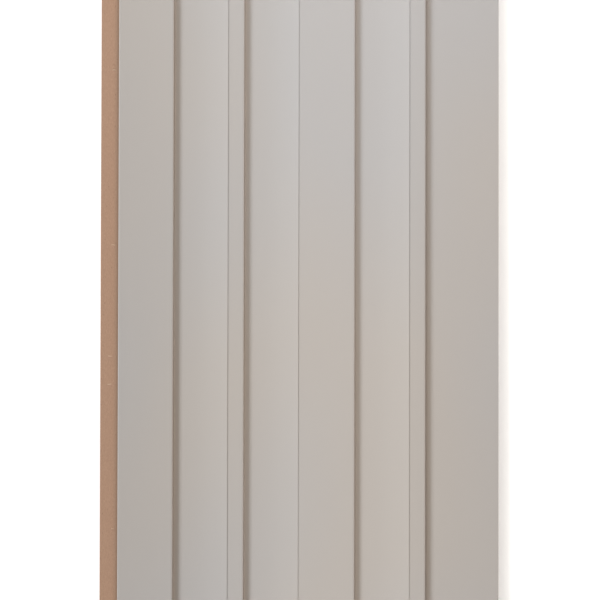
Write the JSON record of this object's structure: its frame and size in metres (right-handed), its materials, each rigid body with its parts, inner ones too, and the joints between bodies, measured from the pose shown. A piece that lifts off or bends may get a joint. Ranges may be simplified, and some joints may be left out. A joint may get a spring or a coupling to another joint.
{
  "type": "decorative wall slat",
  "caption": "Long flat board with a satin-painted face of raised flats and shallow concave coves running along it, for covering a wall.",
  "frame": {"origin": "middle of the flat back, on the surface the slat lies on", "axes": "+Z out of the decorated face, +Y along the slat, +X across it from the rebated edge to the low margin"},
  "size_m": [0.3134, 2.7, 0.016],
  "materials": {
    "painted_mdf": "satin greige paint on the face and long edges, raw MDF at the rebate, the ends and the back"
  },
  "bodies": {
    "root": {"wall_slat": "painted_mdf"}
  },
  "joints": []
}
